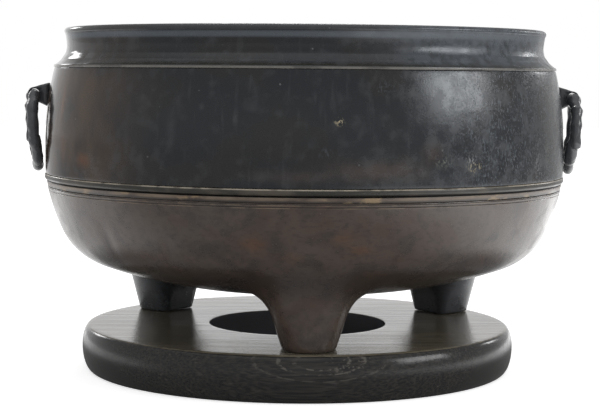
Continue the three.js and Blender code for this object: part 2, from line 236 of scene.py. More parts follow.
def squared_off(value, power):
    """Bends a sine or cosine, so that a circle turns into a square with round corners."""
    return math.copysign(abs(value) ** (2 / power), value)


def polar(radius, azimuth, height):
    """The point at an azimuth, in radians from the front."""
    return Vector((radius * math.sin(azimuth), -radius * math.cos(azimuth), height))


def add_object(name, data):
    """A new object in the scene."""
    made = bpy.data.objects.new(name, data)
    bpy.context.scene.collection.objects.link(made)
    return made


def finish_mesh(bm, node):
    """The object that stands for a CAD node, with smooth faces and outward normals."""
    name = f"{node}_piece"
    bmesh.ops.recalc_face_normals(bm, faces=bm.faces)
    mesh = bpy.data.meshes.new(name)
    bm.to_mesh(mesh)
    bm.free()
    mesh.shade_smooth()
    mesh.set_sharp_from_angle(angle=smooth_angle)
    return add_object(name, mesh)


def add_lathe(bm, outline, segments, warp=None, frame_matrix=None):
    """Revolves an outline that closes on itself, or that starts and ends on the axis."""
    rows = []
    for radius, height in outline:
        count = segments if radius > 0 else 1
        row = []
        for step in range(count):
            azimuth = 2 * math.pi * step / segments
            here = warp(azimuth, radius, height) if warp else (radius, height)
            point = polar(here[0], azimuth, here[1])
            row.append(bm.verts.new(frame_matrix @ point if frame_matrix else point))
        rows.append(row)
    if outline[0][0] > 0:
        rows.append(rows[0])
    bridge_rows(bm, rows)


def bridge_rows(bm, rows):
    """Faces between loops of vertices. A loop of one vertex is a pole."""
    for low, high in zip(rows, rows[1:]):
        count = max(len(low), len(high))
        for step in range(count):
            after = (step + 1) % count
            if len(low) == 1:
                corners = (low[0], high[after], high[step])
            elif len(high) == 1:
                corners = (low[step], low[after], high[0])
            else:
                corners = (low[step], low[after], high[after], high[step])
            bm.faces.new(corners)


def turned(name, outline, warp=None, centre=0):
    """A revolved piece, about an upright axis that may lie off the vessel's along X."""
    bm = bmesh.new()
    add_lathe(bm, finer(outline), round_segments, warp, Matrix.Translation((centre, 0, 0)))
    return finish_mesh(bm, name)


# Radii and a height that more than one piece uses
mouth_radius = drum_radius - bowl_step
mouth_height = band_low - clearance - mouth_rise
shoulder_radius = drum_radius - drum_lean_depth
spigot_inner = mouth_radius - wall
spigot_outer = spigot_inner + spigot_wall
neck_spigot_outer = shoulder_radius - wall + spigot_wall


def bowl_arcs():
    """The bowl's three arcs from the mouth down: centre, radius, both leans and end point."""
    arcs = []
    start = Vector((mouth_radius, mouth_height))
    for radius, first, last in (
        (flank_radius, bowl_lean, flank_end),
        (knee_radius, flank_end, knee_end),
        (base_radius, knee_end, base_end),
    ):
        lean = math.radians(first)
        centre = start + Vector((-math.cos(lean), math.sin(lean))) * radius
        lean = math.radians(last)
        start = centre + Vector((math.cos(lean), -math.sin(lean))) * radius
        arcs.append((centre, radius, first, last, start))
    return arcs


def bowl_outline(inset):
    """Points down the bowl from its mouth, moved inwards, ending where the bottom is level."""
    points = []
    for centre, radius, first, last, _ in bowl_arcs():
        for degrees in between(first, last, arc_steps, 1 if points else 0):
            lean = math.radians(degrees)
            reach = radius - inset
            points.append((centre.x + reach * math.cos(lean), centre.y - reach * math.sin(lean)))
    return points


def underside_at(radius):
    """Height of the bowl's outer surface at a radius."""
    for centre, reach, _, _, end in bowl_arcs():
        if radius > end.x:
            across = min(abs(radius - centre.x), reach)
            return centre.y - math.sqrt(reach**2 - across**2)
    return bowl_low


def drum_radius_at(height):
    above = max(0, height - drum_low - drum_upright)
    return drum_radius - drum_lean_depth * (above / (drum_high - drum_low - drum_upright)) ** 2


def drum_outline(inset):
    """Points up the drum's wall, moved inwards."""
    heights = between(drum_low, drum_high, drum_steps)
    return [(drum_radius_at(height) - inset, height) for height in heights]


def make_stand():
    """A turned slab with a round edge, a crisp arris round the top and a hole."""
    top_radius = stand_reach - stand_bulge + stand_undercut / 2
    outline = [(stand_hole_radius, 0, stand_arris)]
    for turn in between(0, math.pi, stand_edge_steps):
        share = (1 - math.cos(turn)) / 2
        across = top_radius - stand_undercut * (1 - share)
        bulge = stand_bulge * math.sqrt(4 * share * (1 - share))
        outline.append((across + bulge, stand_top * share, 0))
    outline.append((stand_hole_radius, stand_top, stand_arris))
    outline = rounded(outline)
    return turned("stand", outline + outline[:1], centre=stand_centre)


def incised_lines(outline):
    """The bowl's outline up to the waist band, with two fine lines cut below the band."""
    top = band_low - clearance
    low = top - line_drops[-1] - 2 * line_width
    count = round((top - edge_round - low) / (line_width / 4))
    lean = math.tan(math.radians(bowl_lean))
    points = []
    for height in between(top - edge_round, low, count)[:-1]:
        depth = 0
        for line in line_drops:
            away = abs(top - height - line) / (line_width / 2)
            depth = max(depth, line_depth * (1 - smooth_step(0, 1, away)))
        points.append((mouth_radius - max(0, mouth_height - height) * lean - depth, height))
    return points + [point for point in outline if point[1] < low]


def dented(azimuth, radius, height):
    """Presses the old, slanting dent into the bowl's left flank."""
    if radius < mouth_radius - wall * 4 and height < dent_height - dent_fade * dent_half_height:
        return radius, height
    up = (height - dent_height) / dent_half_height
    turn = (azimuth + math.pi) % (2 * math.pi) - math.pi
    across = (turn - dent_azimuth) * radius / dent_half_width + dent_slant * up
    return radius - dent_depth * math.exp(-across**2 - up**2), height


def make_bowl():
    outside = incised_lines(bowl_outline(0))
    inside = bowl_outline(wall)[::-1]
    low = band_low - clearance
    spigot = rounded([
        (spigot_inner, low, 0),
        (spigot_inner, bowl_spigot_top, edge_round),
        (spigot_outer, bowl_spigot_top, edge_round),
        (spigot_outer, low, 0),
        (mouth_radius, low, edge_round),
        (mouth_radius, mouth_height, 0),
    ])
    outline = [(0, inside[0][1])] + inside[1:] + spigot[:-1] + outside[:-1] + [(0, bowl_low)]
    return turned("bowl", outline, dented)


def make_waist_band():
    """A flat band with softened edges, a groove, and a rounded ridge."""
    band_radius = mouth_radius + band_relief
    band_high = band_low - clearance + band_height
    ridge_low = band_high + groove_height
    inner = spigot_outer + clearance
    crown = (ridge_low + ridge_high) / 2
    outline = rounded([
        (inner, band_low, 0),
        (band_radius - band_lean, band_low, edge_round),
        (band_radius, band_high, edge_round),
        (mouth_radius - groove_depth, band_high + groove_height / 2, edge_round),
        (ridge_radius - edge_round * ridge_ease, ridge_low, edge_round),
        (ridge_radius, ridge_low + edge_round * 2, edge_round * 2),
        (ridge_radius, crown, edge_round),
        (ridge_radius, ridge_high - edge_round * 2, edge_round * 2),
        (ridge_radius - edge_round * ridge_ease, ridge_high, edge_round),
        (inner, ridge_high, 0),
    ])
    return turned("waist_band", outline + outline[:1])


def make_drum():
    outside = drum_outline(0)
    inside = drum_outline(wall)[::-1]
    corners = [(*outside[0], edge_round)]
    corners += [(*point, 0) for point in outside[1:-1]]
    corners += [(*outside[-1], edge_round), (neck_spigot_outer + clearance, drum_high, 0)]
    corners += [(*point, 0) for point in inside]
    corners.append((spigot_outer + clearance, drum_low, 0))
    outline = rounded(corners)
    return turned("drum", outline + outline[:1])


def neck_radius_at(height):
    """Radius of the neck's hollow outside, with a flare at its foot and a roll under the lip."""
    flare_high = drum_high + clearance + bead_height + neck_flare_height
    lip_low = rim_height - lip_height
    flare = max(0, (flare_high - height) / neck_flare_height) ** neck_flare_power
    roll = max(0, (height - lip_low + roll_height) / roll_height) ** roll_power
    waist_radius = shoulder_radius - neck_flare
    return waist_radius + neck_flare * flare + (neck_flare - lip_setback - lip_tuck) * roll


def make_neck():
    """The concave neck between a bead on the shoulder and a rolled lip."""
    neck_foot = drum_high + clearance
    flare_low = neck_foot + bead_height
    flare_high = flare_low + neck_flare_height
    lip_radius = shoulder_radius - lip_setback
    inside = lip_radius - lip_wall
    spigot_in = neck_spigot_outer - spigot_wall
    corners = [
        (spigot_in, neck_low, edge_round),
        (neck_spigot_outer, neck_low, edge_round),
        (neck_spigot_outer, neck_foot, 0),
        (bead_radius, neck_foot, edge_round),
        (bead_radius, flare_low, edge_round * 2),
    ]
    lip_low = rim_height - lip_height
    for height in between(flare_low, lip_low, 2 * neck_steps, 1):
        corners.append((neck_radius_at(height), height, 0))
    corners.append((lip_radius - lip_tuck / 2, lip_low, edge_round))
    for angle in between(0, math.pi / 2, lip_steps):
        corners.append((
            lip_radius - lip_round_in * (1 - math.cos(angle)),
            rim_height - lip_round_down * (1 - math.sin(angle)),
            0,
        ))
    corners.append((inside, rim_height, edge_round * 2))
    for share in between(0, 1, neck_steps):
        spread = (spigot_in - inside) * smooth_step(0, 1, share)
        corners.append((inside + spread, flare_high - neck_flare_height * share, 0))
    outline = rounded(corners)
    return turned("neck", outline + outline[:1])


def foot_outline():
    """The sole's D-shaped outline in a foot's own axes, +X outwards: points and normals."""
    inner = foot_outer_radius - foot_depth
    start = inner + foot_corner
    flat = foot_half_width - foot_corner
    dense = []
    for step in range(foot_outline_steps + 1):
        angle = math.pi * (step / foot_outline_steps - 0.5)
        along = squared_off(max(0, math.cos(angle)), foot_roundness)
        side = squared_off(math.sin(angle), foot_roundness)
        dense.append(Vector((start + (foot_outer_radius - start) * along, foot_half_width * side)))
    for centre_side, first in ((1, 90), (-1, 180)):
        for degrees in between(first, first + 90, corner_steps * 2)[1:-1]:
            angle = math.radians(degrees)
            turn = Vector((math.cos(angle), math.sin(angle)))
            dense.append(Vector((start, flat * centre_side)) + turn * foot_corner)
    lengths = [0]
    ring = dense + dense[:1]
    for here, after in zip(ring, ring[1:]):
        lengths.append(lengths[-1] + (after - here).length)
    points = []
    place = 0
    for target in between(0, lengths[-1], foot_outline_steps)[:-1]:
        while lengths[place + 1] < target:
            place += 1
        share = (target - lengths[place]) / (lengths[place + 1] - lengths[place])
        points.append(ring[place].lerp(ring[place + 1], share))
    outline = []
    for place, point in enumerate(points):
        along = points[(place + 1) % len(points)] - points[place - 1]
        outline.append((point, Vector((along.y, -along.x)).normalized()))
    return outline


def foot_column(point, outward):
    """Points up the side of a foot, through the fillet and over its top within the bowl's wall."""
    def at(growth, height):
        place = point + outward * growth
        return Vector((place.x, place.y, height))

    def below_bowl(growth):
        place = point + outward * growth
        return underside_at(place.length)

    reach = foot_face_fillet + (foot_side_fillet - foot_face_fillet) * outward.y**2
    taper = foot_face_taper + (foot_side_taper - foot_face_taper) * outward.y**2
    meet = below_bowl(0) - sole_height
    for _ in range(foot_meet_rounds):
        meet = below_bowl(taper * meet) - sole_height
    corner = taper * meet
    column = []
    for inwards, up in foot_edge_curve:
        column.append(at(-foot_edge * inwards, sole_height + foot_edge * up))
    start_height = max(2 * foot_edge, meet - reach)
    for height in between(foot_edge, start_height, foot_wall_steps):
        column.append(at(taper * height, sole_height + height))
    last = corner + reach
    slope = (below_bowl(last) - below_bowl(last - foot_skirt)) / foot_skirt
    start = Vector((taper * start_height, sole_height + start_height))
    end = Vector((last, below_bowl(last)))
    pull = foot_pull * (end - start).length
    leave = start + pull * Vector((taper, 1)).normalized()
    arrive = end - pull * Vector((1, slope)).normalized()
    for share in between(0, 1, foot_fillet_steps, 1):
        place = (1 - share)**3 * start + 3 * share * (1 - share)**2 * leave
        place += 3 * share**2 * (1 - share) * arrive + share**3 * end
        column.append(at(place.x, place.y))
    column.append(at(last + foot_skirt, below_bowl(last + foot_skirt) + foot_sink / 2))
    edge = point + outward * (last + foot_skirt)
    middle = Vector((foot_outer_radius - foot_depth / 2, 0))
    for share in between(0, 1, foot_cap_steps)[:-1]:
        place = edge.lerp(middle, share)
        column.append(Vector((place.x, place.y, underside_at(place.length) + 2 * foot_sink)))
    return column


def make_foot(name, azimuth):
    columns = [foot_column(point, outward) for point, outward in foot_outline()]
    turn = Matrix.Rotation(math.radians(azimuth - foot_axis), 4, "Z")
    bm = bmesh.new()
    rows = []
    for level_points in zip(*columns):
        rows.append([bm.verts.new(turn @ point) for point in level_points])
    bridge_rows(bm, rows)
    bm.faces.new(rows[0])
    bm.faces.new(rows[-1])
    return finish_mesh(bm, name)


def add_tube(bm, sections):
    """A closed skin over loops of points, with a flat cap at each end."""
    rows = [[bm.verts.new(point) for point in section] for section in sections]
    bridge_rows(bm, rows)
    for row in (rows[0], rows[-1]):
        centre = sum((vert.co for vert in row), Vector()) / len(row)
        hub = bm.verts.new(centre)
        for step, vert in enumerate(row):
            bm.faces.new((vert, row[(step + 1) % len(row)], hub))


# The gnarled ring, from the cut stub of its front limb over the top, down the back limb
# and round the bottom to the limb that starts behind the stub. Each station has its angle
# from the top (the front is below zero), then the tube's half thickness in the ring's plane
# and across it as shares of its radius, then the share of the bow.
ring_stations = [
    (-111, 0.8, 0.88, 0.5),
    (-110, 1.08, 1.06, 0.5),
    (-104, 1.14, 1.1, 0.5),
    (-94, 1.0, 0.97, 0.6),
    (-84, 0.9, 0.9, 0.75),
    (-74, 1.0, 1.04, 0.8),
    (-62, 0.88, 0.88, 0.9),
    (-57, 1.0, 1.0, 0.95),
    (-51, 1.24, 1.08, 0.98),
    (-45, 0.95, 0.9, 0.8),
    (-37, 0.95, 0.95, 0.5),
    (-24, 1.32, 1.28, 0.3),
    (-15, 1.0, 1.0, 0.05),
    (-11, 0.63, 0.62, 0),
    (0, 0.62, 0.62, 0),
    (11, 0.63, 0.62, 0),
    (15, 0.97, 0.9, 0.05),
    (24, 1.28, 1.05, 0.2),
    (36, 0.93, 0.95, 0.45),
    (52, 1.15, 1.06, 0.85),
    (66, 0.93, 0.96, 0.78),
    (82, 1.06, 1.03, 0.7),
    (95, 0.9, 0.9, 0.5),
    (108, 1.1, 1.12, 0.1),
    (122, 0.9, 0.94, -0.4),
    (136, 1.06, 1.02, -0.7),
    (150, 0.9, 0.9, -0.9),
    (166, 1.05, 0.97, -1),
    (181, 0.9, 0.92, -1),
    (196, 1.06, 0.97, -0.97),
    (212, 0.88, 0.88, -0.95),
    (218, 0.84, 0.84, -0.9),
    (226, 1.1, 1.05, -0.7),
    (238, 1.22, 1.14, -0.5),
    (247, 1.1, 1.08, -0.45),
    (256, 0.85, 0.9, -0.45),
    (260, 0.6, 0.6, -0.45),
]


def gnarl(point, depth):
    """How far bark-like hollows move a point outwards: a length below zero, or about zero."""
    return -depth * (noise.noise(point / gnarl_grain) + 1) / 2


def along_stations(angle):
    """Thicknesses and bow at an angle, eased between the stations."""
    for low, high in zip(ring_stations, ring_stations[1:]):
        if low[0] <= angle <= high[0]:
            share = smooth_step(low[0], high[0], angle)
            return [a + (b - a) * share for a, b in zip(low[1:], high[1:])]
    return list(ring_stations[-1][1:])


def make_ring(name, side):
    first, last = ring_stations[0][0], ring_stations[-1][0]
    count = round((last - first) / ring_step)
    place = handle_place(side, ring_turn)
    bm = bmesh.new()
    sections = []
    for angle in between(first, last, count):
        in_plane, across, bow = along_stations(angle)
        turn = math.radians(angle)
        centre = Vector((
            ring_bow * bow,
            ring_half_width * math.sin(turn),
            ring_half_height * (math.cos(turn) - 1),
        ))
        outward = Vector((0, math.sin(turn), math.cos(turn)))
        section = []
        for round_angle in full_turn(ring_sides):
            point = centre.copy()
            point.x += ring_tube_radius * across * math.cos(round_angle)
            point += outward * (ring_tube_radius * in_plane * math.sin(round_angle))
            bark = ring_gnarl * smooth_step(*gnarl_start, in_plane)
            point += (point - centre).normalized() * gnarl(point, bark)
            section.append(place @ point)
        sections.append(section)
    add_tube(bm, sections)
    return finish_mesh(bm, name)


def handle_place(side, turn):
    """From a handle's own axes, +X outwards from its pivot, to its place on the vessel."""
    pivot = Matrix.Translation((pivot_radius, 0, pivot_height))
    around = Matrix.Rotation(0 if side == "right" else math.pi, 4, "Z")
    return around @ pivot @ Matrix.Rotation(-turn if side == "right" else turn, 4, "Z")


def lug_edge(angle):
    """How far the lug reaches from the pivot, seen from the side."""
    reach = lug_nose
    limits = [(math.pi, lug_reach)]
    for root, side in ((lug_root_up, 1), (lug_root_down, -1)):
        root_angle = math.atan2(root, -lug_reach)
        tangent = root_angle - math.acos(lug_nose / math.hypot(lug_reach, root))
        limits.append((side * tangent, lug_nose))
        if side * angle > tangent:
            reach = None
    if reach is None:
        found = []
        for normal, away in limits:
            facing = math.cos(angle - normal)
            if facing > least_facing:
                found.append(away / facing)
        reach = min(found)
    return reach


def make_lug(name, handle):
    """A worn wedge with the ring's eye, and a rivet head inside the drum."""
    place = handle_place(handle, 0)
    bm = bmesh.new()
    rows = []
    for angle in full_turn(lug_turn_steps):
        angle -= math.pi
        outer = lug_edge(angle)
        row = []
        for turn in full_turn(lug_section_steps):
            along = squared_off(math.cos(turn), lug_squareness)
            across = squared_off(math.sin(turn), lug_squareness)
            reach = (outer + lug_hole) / 2 + (outer - lug_hole) / 2 * along
            side = lug_width / 2 * across
            point = Vector((reach * math.cos(angle), side, reach * math.sin(angle)))
            if along > 0:
                point *= 1 + gnarl(point, lug_gnarl) * along / reach
            row.append(bm.verts.new(place @ point))
        rows.append(row)
    bridge_rows(bm, rows + rows[:1])
    inner = drum_radius_at(pivot_height) - wall - clearance
    head = []
    for turn in between(0, math.pi / 2, corner_steps * 2):
        head.append((rivet_radius * math.sin(turn), rivet_height * math.cos(turn)))
    to_wall = Matrix.Translation((inner - pivot_radius, 0, 0))
    to_wall @= Matrix.Rotation(-math.pi / 2, 4, "Y")
    outline = head + [(tang_radius, 0), (tang_radius, -wall), (0, -wall)]
    add_lathe(bm, outline, rivet_segments, frame_matrix=place @ to_wall)
    return finish_mesh(bm, name)


# How strongly the waxed bronze and the polished wood mirror
bronze_ior = 1.75
wood_ior = 1.5

# The grain's nested arcs in the wood at the front of the stand: the outermost arc, then each
# arc as a share of it with its strength
figure_x = 0.0075
figure_height = 0.030
figure_half_width = 0.048
figure_half_height = 0.0145
figure_warp = 0.3
figure_arcs = ((1, 0.4), (0.68, 0.65), (0.46, 0.75))

# Where a change starts and where it is complete: away from an arc, and for the chips inwards
# and to the right, all as shares of the outermost arc
figure_line = (0.045, 0.012)
chips_within = (0.85, 0.6)
chips_right_of = (-0.1, 0.45)

# Azimuths in radians between which a bloom sets in on the neck's right, and dulls it
neck_veil = (0.1, 0.6)
neck_dull = (0, 0.5)

# A soft patch: its noise's grain as a share of its size, the noise's detail, and its end
patch_grain = 0.9
patch_detail = 7
patch_end = 1.2


class Nodes:
    """Adds nodes to a tree. Every method that adds one returns the socket that it makes."""

    def __init__(self, tree):
        self.tree = tree

    def add(self, kind, *values, **settings):
        """A node, with its settings and its first inputs, each one linked or set."""
        node = self.tree.nodes.new(kind)
        for name, value in settings.items():
            setattr(node, name, value)
        for socket, value in zip(node.inputs, values):
            self.feed(socket, value)
        return node

    def feed(self, socket, value):
        if isinstance(value, bpy.types.NodeSocket):
            self.tree.links.new(value, socket)
        else:
            socket.default_value = value

    def fill(self, node, values):
        """Links or sets inputs of a node by their names."""
        for name, value in values.items():
            self.feed(node.inputs[name], value)
        return node

    def math(self, operation, first, second=0):
        return self.add("ShaderNodeMath", first, second, operation=operation).outputs[0]

    def ramp(self, value, low, high, start=0, end=1):
        """Eases from start to end as the value goes from low to high."""
        node = self.add(
            "ShaderNodeMapRange", value, low, high, start, end, interpolation_type="SMOOTHSTEP")
        return node.outputs[0]

    def times(self, first, *others):
        for other in others:
            first = self.math("MULTIPLY", first, other)
        return first

    def plus(self, first, second):
        return self.math("ADD", first, second)

    def less(self, first, second):
        return self.math("SUBTRACT", first, second)

    def inverse(self, share):
        return self.less(1, share)

    def most(self, first, second):
        return self.math("MAXIMUM", first, second)

    def length(self, first, second):
        """The length of a flat vector."""
        both = self.add("ShaderNodeCombineXYZ", first, second).outputs[0]
        return self.add("ShaderNodeVectorMath", both, operation="LENGTH").outputs["Value"]

    def mix(self, factor, first, second):
        node = self.add("ShaderNodeMix", data_type="RGBA", clamp_factor=True)
        self.feed(node.inputs[0], factor)
        for socket, colour in ((node.inputs[6], first), (node.inputs[7], second)):
            self.feed(socket, colour if isinstance(colour, bpy.types.NodeSocket) else (*colour, 1))
        return node.outputs[2]

    def mirrored(self):
        """1 for rays that a mirror or glass sends on."""
        path = self.add("ShaderNodeLightPath")
        return self.most(path.outputs["Is Glossy Ray"], path.outputs["Is Transmission Ray"])

    def seen(self):
        """1 for rays from the camera."""
        return self.add("ShaderNodeLightPath").outputs["Is Camera Ray"]


class Paint(Nodes):
    """One material over the vessel's own axes: a colour with coats over it, and relief."""

    def __init__(self, name):
        self.material = bpy.data.materials.new(name)
        self.material.use_nodes = True
        super().__init__(self.material.node_tree)
        self.shader = self.tree.nodes["Principled BSDF"]
        self.place = self.add("ShaderNodeTexCoord").outputs["Object"]
        self.x, self.y, self.z = self.add("ShaderNodeSeparateXYZ", self.place).outputs
        self.azimuth = self.math("ARCTAN2", self.x, self.times(self.y, -1))
        self.colour = None
        self.normal = None

    def coat(self, cover, tint, strength=1):
        """Lays a colour over those so far, as far as it covers them."""
        self.colour = self.mix(self.times(cover, strength), self.colour, tint)

    def relief(self, height, distance):
        """Adds relief as deep as the distance."""
        values = {"Height": height, "Distance": distance}
        node = self.fill(self.add("ShaderNodeBump"), values)
        if self.normal:
            self.feed(node.inputs["Normal"], self.normal)
        self.normal = node.outputs[0]

    def finish(self, roughness, ior):
        values = {"Base Color": self.colour, "Roughness": roughness, "Normal": self.normal}
        self.fill(self.shader, {**values, "IOR": ior})
        return self.material

    def towards(self, start, end):
        """Eases from 0 to 1 between two azimuths in degrees."""
        return self.ramp(self.azimuth, math.radians(start), math.radians(end))

    def noise(self, grain, detail=3, stretch=(1, 1, 1), lacunarity=2, warp=0):
        """Cloudy noise whose features are about as long as the grain, times the stretch."""
        scale = [1 / (grain * share) for share in stretch]
        place = self.add("ShaderNodeVectorMath", self.place, scale, operation="MULTIPLY").outputs[0]
        values = {"Vector": place, "Scale": 1, "Detail": detail, "Lacunarity": lacunarity}
        node = self.fill(self.add("ShaderNodeTexNoise"), {**values, "Distortion": warp})
        return node.outputs["Fac"]

    def specks(self, spacing, size):
        """Small round specks, scattered and of uneven size."""
        values = {"Vector": self.place, "Scale": 1 / spacing}
        node = self.fill(self.add("ShaderNodeTexVoronoi"), values)
        picked = self.add("ShaderNodeSeparateColor", node.outputs["Color"]).outputs[0]
        reach = self.less(self.times(picked, size), node.outputs["Distance"])
        return self.ramp(reach, 0, size / 3)

    def spot(self, azimuth, height, half_width, half_height, ragged=0.5):
        """A soft patch on the vessel's wall, at an azimuth in degrees."""
        away = self.less(self.azimuth, math.radians(azimuth))
        across = self.times(away, drum_radius / half_width)
        up = self.math("DIVIDE", self.less(self.z, height), half_height)
        grain = min(half_width, half_height) * patch_grain
        rough = self.times(self.noise(grain, patch_detail), 2 * ragged)
        return self.ramp(self.plus(self.length(across, up), rough), patch_end + ragged, ragged)

    def flecks(self, azimuth, height, half_width, half_height):
        """A patch broken up into small ragged flecks."""
        crumbs = self.ramp(self.noise(0.0013, 5, (1, 1, 1.5)), 0.50, 0.60)
        return self.times(self.spot(azimuth, height, half_width, half_height, 0.4), crumbs)

    def band(self, low, high, soft):
        """1 between two heights."""
        above = self.ramp(self.z, low - soft, low + soft)
        below = self.ramp(self.z, high + soft, high - soft)
        return self.times(above, below)

    def seam(self, azimuth, low, high, half_width, wander):
        """A thin upright line that wanders from side to side, at an azimuth in degrees."""
        drift = self.times(self.less(self.noise(0.010, 4), 0.5), wander)
        away = self.less(self.azimuth, math.radians(azimuth))
        away = self.math("ABSOLUTE", self.plus(self.times(away, drum_radius), drift))
        return self.times(self.ramp(away, half_width, half_width * 0.4), self.band(low, high, 0.003))


# Colours of the patina and the wood
blue_sheen = (0.92, 0.96, 1.0)
blue_black = (0.0065, 0.0080, 0.0110)
brown_black = (0.0115, 0.0095, 0.0085)
warm_brown = (0.060, 0.036, 0.020)
grey_bloom = (0.050, 0.052, 0.056)
blue_bloom = (0.075, 0.088, 0.105)
pale_grey = (0.18, 0.18, 0.185)
cream = (0.34, 0.29, 0.19)
verdigris = (0.13, 0.14, 0.11)
rust = (0.13, 0.052, 0.018)
bowl_brown = (0.068, 0.046, 0.036)
bowl_dark = (0.014, 0.012, 0.011)
bowl_pale = (0.070, 0.053, 0.044)
bowl_red = (0.062, 0.034, 0.024)
foot_black = (0.050, 0.053, 0.060)
brass = (0.30, 0.21, 0.11)
tan = (0.17, 0.125, 0.085)
worn_bead_and_highlight = (0.145, 0.135, 0.12)
worn_edge = (0.30, 0.265, 0.21)
olive = (0.016, 0.015, 0.010)
near_black = (0.005, 0.0045, 0.004)
wood_black = (0.014, 0.0138, 0.0145)
wood_brown = (0.034, 0.032, 0.029)
bare_wood_and_painted_light = (0.12, 0.12, 0.13)
wood_pale = (0.12, 0.11, 0.095)
wood_dull = (0.085, 0.077, 0.062)
wood_worn = (0.170, 0.148, 0.105)


def make_black_bronze():
    """Blue-black waxed patina: browner at the left, pitted, streaked and greyer at the right."""
    paint = Paint("black_bronze")
    cloud = paint.noise(0.05, 5)
    streak = paint.noise(0.005, 4, (1, 1, 9))
    fine = paint.noise(0.0013, 4)
    paint.colour = paint.mix(paint.ramp(cloud, 0.42, 0.66), blue_black, brown_black)
    behind = paint.ramp(paint.y, 0.02, 0.10)
    before = paint.inverse(behind)
    left = paint.times(paint.towards(-30, -58), before)
    back = paint.times(paint.ramp(paint.noise(0.11, 2), 0.5, 0.66), behind)
    blotch = paint.noise(0.024, 5, (1, 1, 1.6))
    brown = paint.times(paint.most(left, back), paint.ramp(blotch, 0.34, 0.62, 0.25, 1))
    below_neck = paint.ramp(paint.z, drum_high + 0.012, drum_high - 0.012, 0.35, 1)
    paint.coat(paint.times(brown, below_neck), warm_brown)
    right = paint.times(paint.towards(22, 40), before)
    right = paint.most(right, paint.times(paint.ramp(paint.noise(0.13, 2), 0.50, 0.62), behind))
    pit = paint.ramp(paint.noise(0.0015, 4, (1, 1, 1.6), 2.2), 0.53, 0.66)
    on_drum = paint.ramp(paint.z, drum_high + 0.001, drum_high - 0.001)
    pitted = paint.times(pit, right, on_drum)
    paint.coat(pitted, blue_bloom, 0.5)
    run = paint.ramp(paint.noise(0.0009, 3, (1, 1, 14)), 0.57, 0.68)
    run = paint.times(run, paint.ramp(paint.noise(0.012, 3), 0.42, 0.62))
    paint.coat(paint.times(run, right), blue_bloom, 0.8)
    streak = paint.times(paint.ramp(streak, 0.55, 0.75), paint.inverse(left))
    paint.coat(streak, grey_bloom, 0.3)
    paint.coat(paint.specks(0.011, 0.085), pale_grey, 0.5)
    for *place, strength, tint in drum_patches:
        paint.coat(paint.spot(*place), tint, strength)
    for *place, strength, tint in drum_flecks:
        paint.coat(paint.flecks(*place), tint, strength)
    paint.coat(paint.seam(24, drum_high - 0.042, drum_high - 0.001, 0.0006, 0.006), near_black, 0.8)
    flare_low = drum_high + clearance + bead_height
    paint.coat(paint.band(flare_low, flare_low + 0.0018, 0.0006), olive)
    # The bead's crest, paler: rubbed wear, and a painted highlight along the bead
    crest = paint.band(drum_high + 0.0001, flare_low - 0.0004, 0.0003)
    worn = paint.times(crest, paint.ramp(paint.noise(0.02, 4), 0.36, 0.50, 0.5, 1))
    paint.coat(worn, worn_bead_and_highlight)
    lip_low = rim_height - lip_height
    # A paler blue-grey band painted under the lip
    roll = paint.band(rim_height - 0.0088, lip_low - 0.0006, 0.0012)
    paint.coat(roll, blue_bloom, 0.9)
    lip = paint.ramp(paint.z, lip_low, lip_low + 0.0006)
    paint.coat(lip, grey_bloom, 0.5)
    on_neck = paint.ramp(paint.z, drum_high + 0.001, drum_high + 0.006)
    veil = paint.times(on_neck, paint.ramp(paint.azimuth, *neck_veil), before)
    veil = paint.times(veil, paint.ramp(paint.noise(0.006, 5), 0.35, 0.6, 0.25, 0.8))
    paint.coat(veil, blue_bloom)
    wax = paint.noise(0.011, 5)
    paint.coat(paint.ramp(wax, 0.5, 0.75, 0, 0.35), grey_bloom)
    roughness = paint.ramp(paint.plus(wax, paint.times(fine, 0.5)), 0.55, 1.0, 0.19, 0.34)
    roughness = paint.plus(roughness, paint.times(pitted, 0.16))
    turned_away = paint.times(paint.towards(-48, -64), before)
    matt = paint.less(1, paint.times(turned_away, 0.55))
    roughness = paint.times(roughness, matt)
    above = paint.ramp(paint.z, drum_high, drum_high + 0.004, 0, 0.06)
    above = paint.times(above, paint.ramp(paint.azimuth, *neck_dull), before)
    roughness = paint.plus(roughness, above)
    paint.relief(paint.noise(0.03, 3), 0.0004)
    paint.relief(paint.times(paint.noise(0.007, 4), matt), 0.00006)
    paint.relief(paint.times(fine, paint.inverse(turned_away)), 0.00004)
    paint.relief(paint.inverse(pitted), 0.00002)
    paint.shader.inputs["Specular Tint"].default_value = (*blue_sheen, 1)
    return paint.finish(roughness, bronze_ior)


# Marks on the drum: azimuth, height, half width, half height, strength and colour
drum_patches = (
    (-64.5, 0.205, 0.0045, 0.019, 0.75, rust),
    (-63, 0.176, 0.006, 0.016, 0.35, rust),
    (-54, 0.166, 0.012, 0.007, 0.55, rust),
    (12, 0.164, 0.045, 0.009, 0.6, bowl_brown),
    (-4, 0.160, 0.040, 0.006, 0.35, bowl_brown),
    (24, 0.176, 0.010, 0.010, 0.45, bowl_red),
    (-15.5, 0.199, 0.0022, 0.0075, 0.5, grey_bloom),
    (-22.5, 0.206, 0.0025, 0.003, 0.4, grey_bloom),
    (-29, 0.190, 0.005, 0.018, 0.3, grey_bloom),
)
drum_flecks = (
    (4.8, 0.197, 0.0045, 0.0035, 1, cream),
    (32.8, 0.192, 0.0035, 0.014, 0.9, blue_bloom),
    (38, 0.188, 0.012, 0.012, 0.5, blue_bloom),
    (33, 0.171, 0.006, 0.007, 0.9, pale_grey),
    (34, 0.165, 0.008, 0.005, 0.9, cream),
    (26.5, 0.170, 0.009, 0.006, 0.6, verdigris),
    (55, 0.166, 0.006, 0.012, 0.8, pale_grey),
    (52, 0.224, 0.004, 0.007, 0.9, pale_grey),
    (60, 0.172, 0.006, 0.016, 0.7, verdigris),
    (14, 0.220, 0.009, 0.006, 0.35, blue_bloom),
    (2, 0.176, 0.006, 0.005, 0.35, blue_bloom),
)


